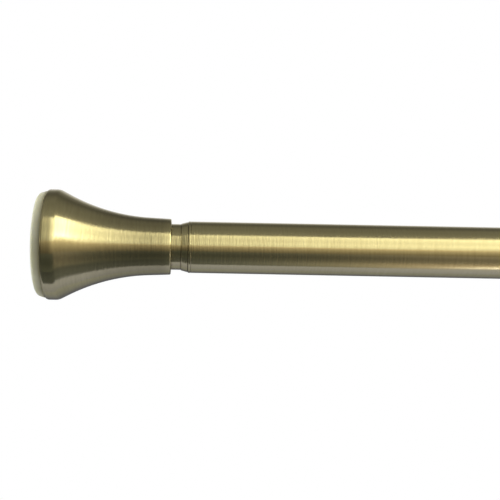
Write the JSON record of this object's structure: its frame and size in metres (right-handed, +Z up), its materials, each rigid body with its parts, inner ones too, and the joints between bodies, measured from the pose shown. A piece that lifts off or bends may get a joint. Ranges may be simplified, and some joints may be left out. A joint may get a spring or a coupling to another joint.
{
  "type": "telescopic shower curtain rod",
  "caption": "Telescopic tension rod with trumpet-shaped end caps and soft wall pads, held between two walls to carry a shower curtain.",
  "frame": {"origin": "centre of the left pad's wall face", "axes": "+X along the rod from the left wall to the right wall, +Z up"},
  "size_m": [1.067, 0.0544, 0.0544],
  "materials": {
    "antique_brass_plate": "steel with brushed antique brass plating under clear lacquer",
    "pad_rubber": "milky moulded soft rubber",
    "white_moulding": "natural white injection moulding",
    "grey_moulding": "grey glass-filled moulding",
    "zinc_steel": "zinc-plated turned steel",
    "band_rubber": "moulded black rubber"
  },
  "bodies": {
    "left_cap": {"left_bell": "antique_brass_plate", "left_pad": "pad_rubber", "left_hub": "white_moulding"},
    "inner": {"inner_tube": "antique_brass_plate", "left_tube_plug": "grey_moulding", "left_swivel_screw": "zinc_steel", "left_swivel_washer": "zinc_steel", "screw_anchor": "grey_moulding", "anchor_pin": "zinc_steel", "tension_screw": "zinc_steel", "stop_washer": "zinc_steel", "stop_clip": "zinc_steel"},
    "lock": {"cone_nut": "grey_moulding", "expander_sleeve": "white_moulding", "friction_band": "band_rubber"},
    "outer": {"outer_tube": "antique_brass_plate", "mouth_collar": "antique_brass_plate", "right_tube_plug": "grey_moulding", "right_swivel_washer": "zinc_steel", "right_swivel_screw": "zinc_steel"},
    "right_cap": {"right_bell": "antique_brass_plate", "right_pad": "pad_rubber", "right_hub": "white_moulding"}
  },
  "joints": [
    {"name": "tube_twist", "type": "hinge", "parent": "left_cap", "child": "inner", "pos_m": [0, 0, 0], "axis": [-1, 0, 0], "range_deg": [0, 2161]},
    {"name": "screw_advance", "type": "slide", "parent": "left_cap", "child": "lock", "axis": [1, 0, 0], "range_m": [0, 0.018]},
    {"name": "telescope", "type": "slide", "parent": "lock", "child": "outer", "axis": [1, 0, 0], "range_m": [-0.0044, 0.762]},
    {"name": "right_cap_swivel", "type": "hinge", "parent": "outer", "child": "right_cap", "pos_m": [1.067, 0, 0], "axis": [1, 0, 0], "continuous": true}
  ],
  "couplings": [
    {"joint": "tube_twist", "follows": "screw_advance", "rad_per_m": 2094.4}
  ]
}
